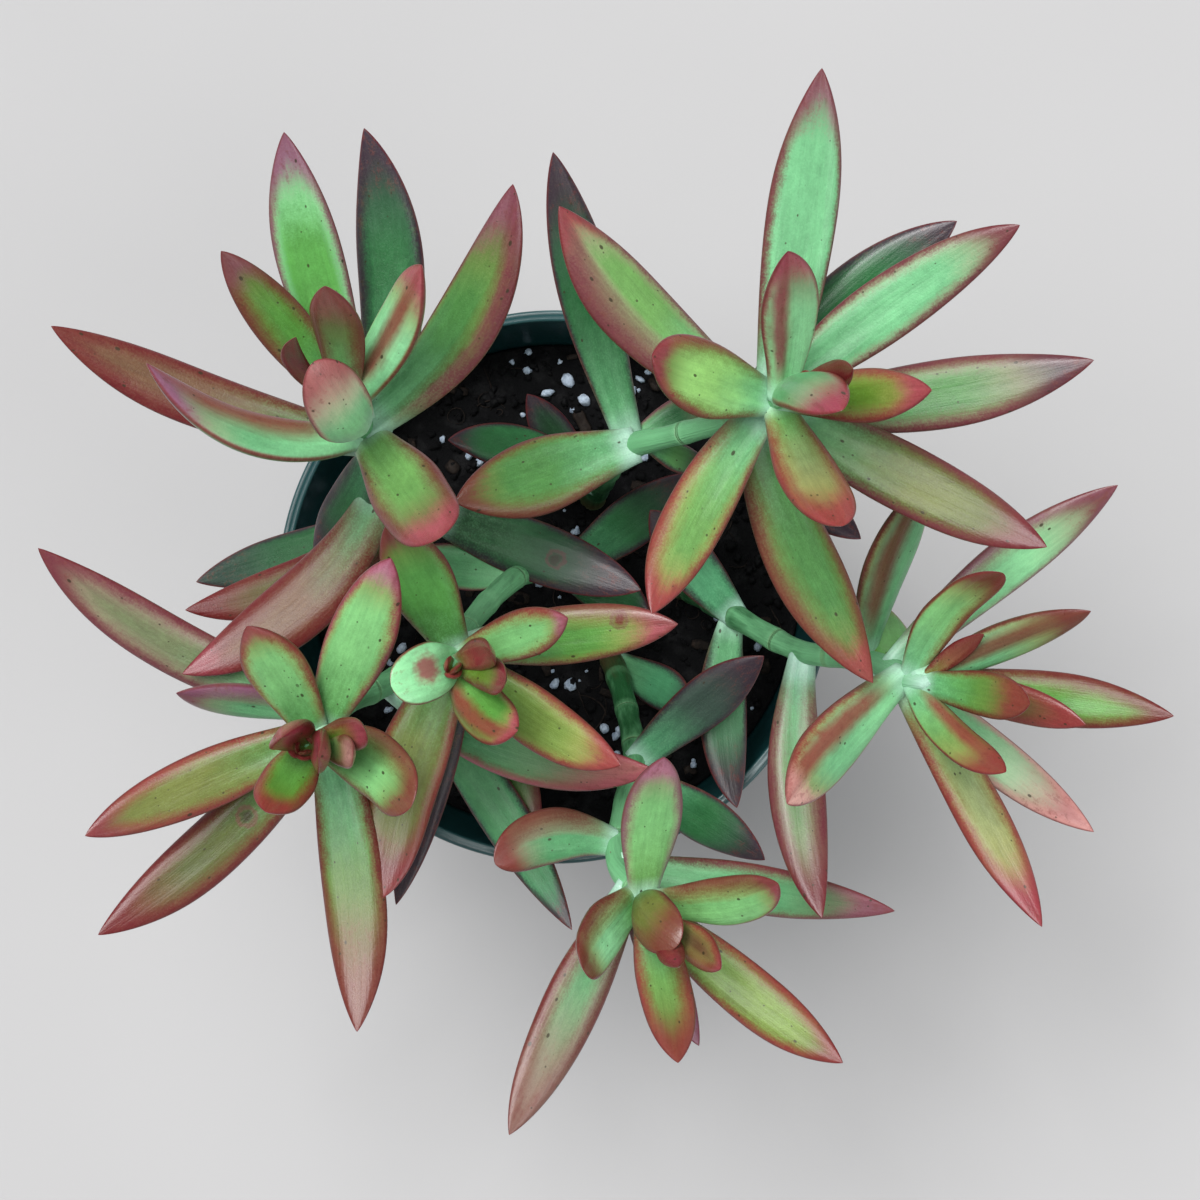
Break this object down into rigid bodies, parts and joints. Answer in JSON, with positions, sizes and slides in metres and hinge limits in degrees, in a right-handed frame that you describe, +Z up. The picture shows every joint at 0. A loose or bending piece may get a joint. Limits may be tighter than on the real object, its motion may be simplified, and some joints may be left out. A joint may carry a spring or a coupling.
{
  "type": "potted succulent",
  "caption": "Leggy sedum with branching stems and rosettes of thick pointed red-edged green leaves, growing in soil in a round tapered nursery pot.",
  "frame": {"origin": "middle of the flat underside of the pot, on the surface it stands on", "axes": "+Z up along the pot's axis; seen from above with +X to the right and +Y up the view, the tallest shoot is at the upper right"},
  "size_m": [0.1881, 0.1709, 0.182],
  "materials": {
    "leaf": "satin",
    "shaded_leaf": "satin",
    "stem": "satin",
    "soil": "matte",
    "perlite": "matte",
    "bark": "matte",
    "pot": "satin"
  },
  "bodies": {
    "root": {"leaf_a01": "leaf", "leaf_a02": "leaf", "leaf_a03": "leaf", "leaf_a04": "leaf", "leaf_a05": "leaf", "leaf_a06": "leaf", "leaf_a10": "leaf", "leaf_a11": "leaf", "leaf_a12": "leaf", "leaf_a14": "shaded_leaf", "leaf_a16": "shaded_leaf", "leaf_b01": "leaf", "leaf_b02": "leaf", "leaf_b03": "leaf", "leaf_b04": "leaf", "leaf_b05": "leaf", "leaf_b06": "leaf", "leaf_b07": "leaf", "leaf_b08": "leaf", "leaf_b09": "leaf", "leaf_b10": "leaf", "leaf_b15": "leaf", "leaf_b16": "shaded_leaf", "leaf_c01": "leaf", "leaf_c03": "leaf", "leaf_c04": "leaf", "leaf_c08": "leaf", "leaf_c09": "leaf", "leaf_c10": "leaf", "leaf_c11": "leaf", "leaf_c12": "leaf", "leaf_c16": "shaded_leaf", "leaf_d01": "leaf", "leaf_d03": "leaf", "leaf_d04": "leaf", "leaf_d05": "leaf", "leaf_d07": "leaf", "leaf_d12": "leaf", "leaf_d13": "shaded_leaf", "leaf_e01": "leaf", "leaf_e02": "leaf", "leaf_e03": "leaf", "leaf_e07": "leaf", "leaf_e08": "leaf", "leaf_e09": "leaf", "leaf_e10": "leaf", "leaf_e12": "leaf", "leaf_e13": "shaded_leaf", "leaf_f01": "leaf", "leaf_f03": "leaf", "leaf_f04": "leaf", "leaf_f10": "leaf", "pot": "pot", "soil": "soil", "stem_a": "stem", "stem_b": "stem", "stem_c": "stem", "stem_d": "stem", "stem_e": "stem", "stem_f": "stem"}
  },
  "joints": []
}
